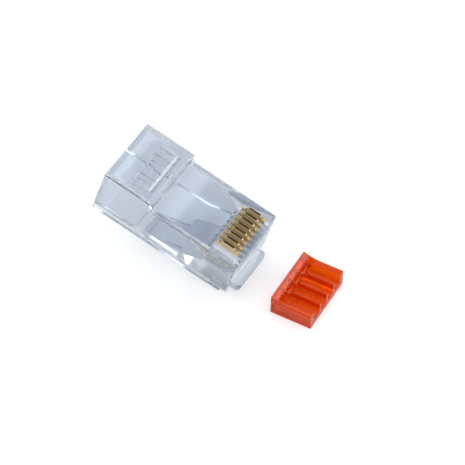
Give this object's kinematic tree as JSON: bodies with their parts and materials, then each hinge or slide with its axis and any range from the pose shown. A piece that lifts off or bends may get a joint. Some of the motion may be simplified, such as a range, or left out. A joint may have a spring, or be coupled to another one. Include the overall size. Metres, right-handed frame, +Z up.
{
  "type": "rj45 modular plug",
  "caption": "Clear eight-position modular plug, not yet crimped, lying on its latch, with its orange load bar set in front of the nose.",
  "frame": {"origin": "under the middle of the whole set, on the surface that it lies on", "axes": "+X along the set, from the cable end of the plug to the load bar; +Y across the plug; +Z up"},
  "size_m": [0.0346, 0.0116, 0.0142],
  "materials": {
    "clear_plastic": "clear moulded polycarbonate",
    "contact_metal": "gold-plated phosphor bronze",
    "load_bar_plastic": "translucent orange moulded polycarbonate"
  },
  "bodies": {
    "plug_body": {"housing": "clear_plastic", "load_bar": "load_bar_plastic"},
    "latch": {"latch_tab": "clear_plastic"},
    "strain_relief": {"strain_relief_bar": "clear_plastic"},
    "blade_1": {"contact_1": "contact_metal"},
    "blade_2": {"contact_2": "contact_metal"},
    "blade_3": {"contact_3": "contact_metal"},
    "blade_4": {"contact_4": "contact_metal"},
    "blade_5": {"contact_5": "contact_metal"},
    "blade_6": {"contact_6": "contact_metal"},
    "blade_7": {"contact_7": "contact_metal"},
    "blade_8": {"contact_8": "contact_metal"}
  },
  "joints": [
    {"name": "latch_hinge", "type": "hinge", "parent": "plug_body", "child": "latch", "pos_m": [0.00329, 0, 0.00069], "axis": [0, 1, 0], "range_deg": [0, 13.5], "stiffness_Nm_per_rad": 0.08},
    {"name": "strain_relief_hinge", "type": "hinge", "parent": "plug_body", "child": "strain_relief", "pos_m": [-0.00934, 0, 0.01201], "axis": [0, -1, 0], "range_deg": [0, 22]},
    {"name": "contact_1_crimp", "type": "slide", "parent": "plug_body", "child": "blade_1", "axis": [-0.254, 0, -0.9672], "range_m": [0, 0.00145]},
    {"name": "contact_2_crimp", "type": "slide", "parent": "plug_body", "child": "blade_2", "axis": [-0.254, 0, -0.9672], "range_m": [0, 0.00145]},
    {"name": "contact_3_crimp", "type": "slide", "parent": "plug_body", "child": "blade_3", "axis": [-0.254, 0, -0.9672], "range_m": [0, 0.00145]},
    {"name": "contact_4_crimp", "type": "slide", "parent": "plug_body", "child": "blade_4", "axis": [-0.254, 0, -0.9672], "range_m": [0, 0.00145]},
    {"name": "contact_5_crimp", "type": "slide", "parent": "plug_body", "child": "blade_5", "axis": [-0.254, 0, -0.9672], "range_m": [0, 0.00145]},
    {"name": "contact_6_crimp", "type": "slide", "parent": "plug_body", "child": "blade_6", "axis": [-0.254, 0, -0.9672], "range_m": [0, 0.00145]},
    {"name": "contact_7_crimp", "type": "slide", "parent": "plug_body", "child": "blade_7", "axis": [-0.254, 0, -0.9672], "range_m": [0, 0.00145]},
    {"name": "contact_8_crimp", "type": "slide", "parent": "plug_body", "child": "blade_8", "axis": [-0.254, 0, -0.9672], "range_m": [0, 0.00145]}
  ]
}
